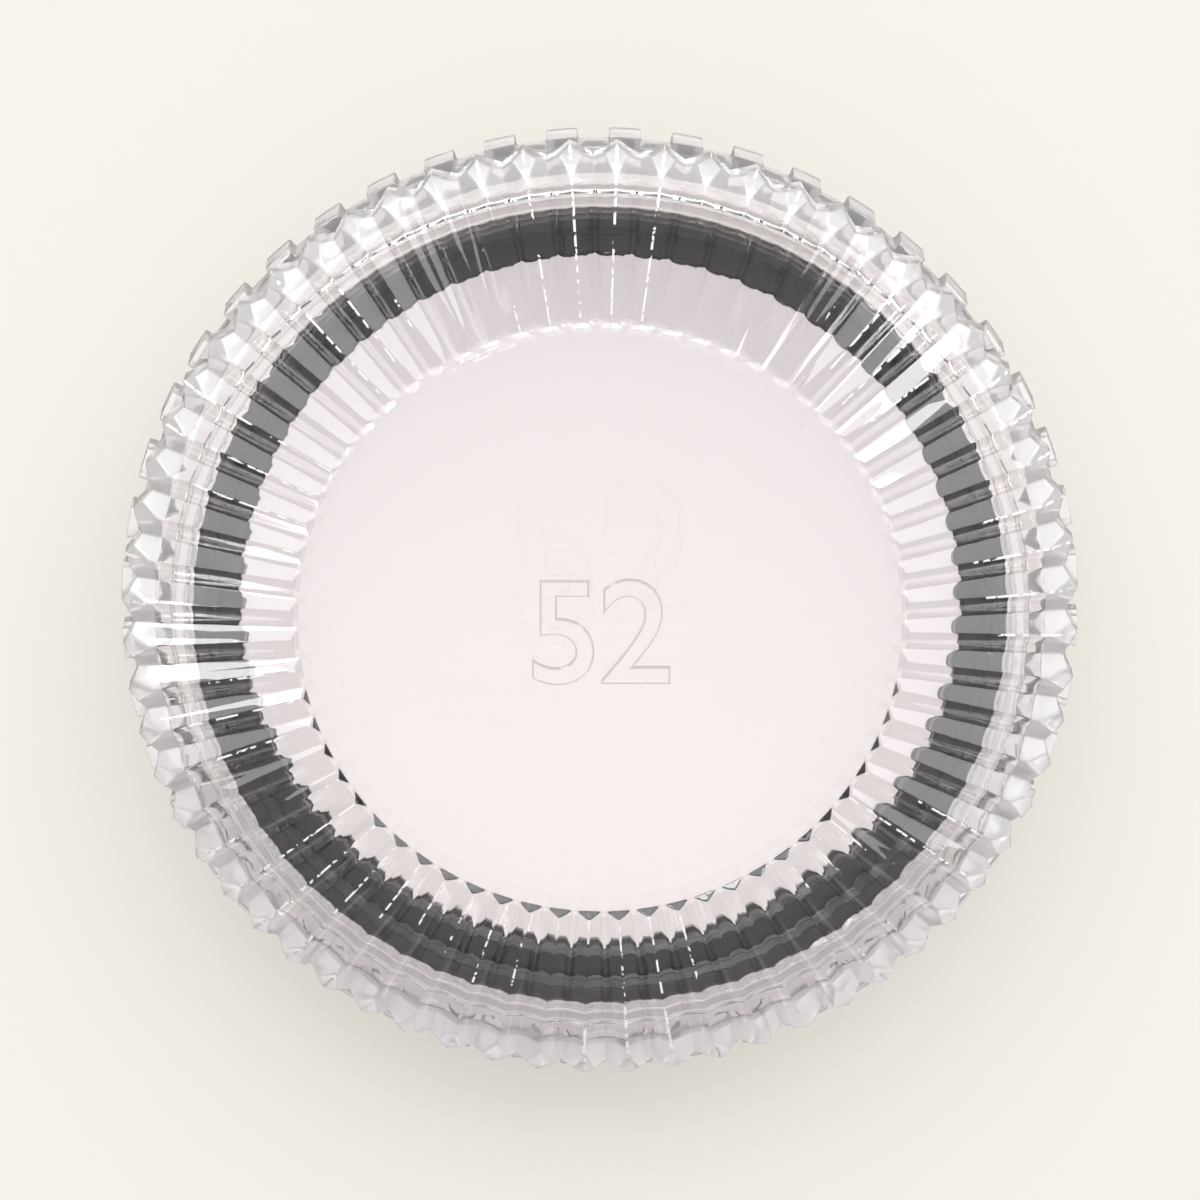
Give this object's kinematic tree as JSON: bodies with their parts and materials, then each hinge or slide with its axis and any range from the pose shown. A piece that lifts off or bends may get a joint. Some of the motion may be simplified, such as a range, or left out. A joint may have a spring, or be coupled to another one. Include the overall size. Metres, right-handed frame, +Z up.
{
  "type": "uv filter in a clear storage case",
  "caption": "Round screw-in camera filter with a knurled black rim and clear glass, lying in a clear round case whose fluted lid lifts off.",
  "frame": {"origin": "centre of the flat underside that the closed case lies on", "axes": "+Z up along the common axis of case and filter, out through the lid's window; the object is round, so +X and +Y mark no feature of their own"},
  "size_m": [0.0638, 0.0638, 0.012],
  "materials": {
    "clear_base": "clear polished polystyrene",
    "clear_lid": "clear polished polystyrene, lightly scuffed on the crests",
    "black_rim": "satin black anodised aluminium",
    "clear_glass": "polished, coated",
    "black_ring": "satin black anodised aluminium"
  },
  "bodies": {
    "case": {"case_base": "clear_base", "filter_rim": "black_rim", "filter_glass": "clear_glass", "retaining_ring": "black_ring"},
    "lid": {"case_lid": "clear_lid"}
  },
  "joints": [
    {"name": "lid_lift", "type": "slide", "parent": "case", "child": "lid", "axis": [0, 0, 1], "range_m": [0, 0.025]}
  ]
}
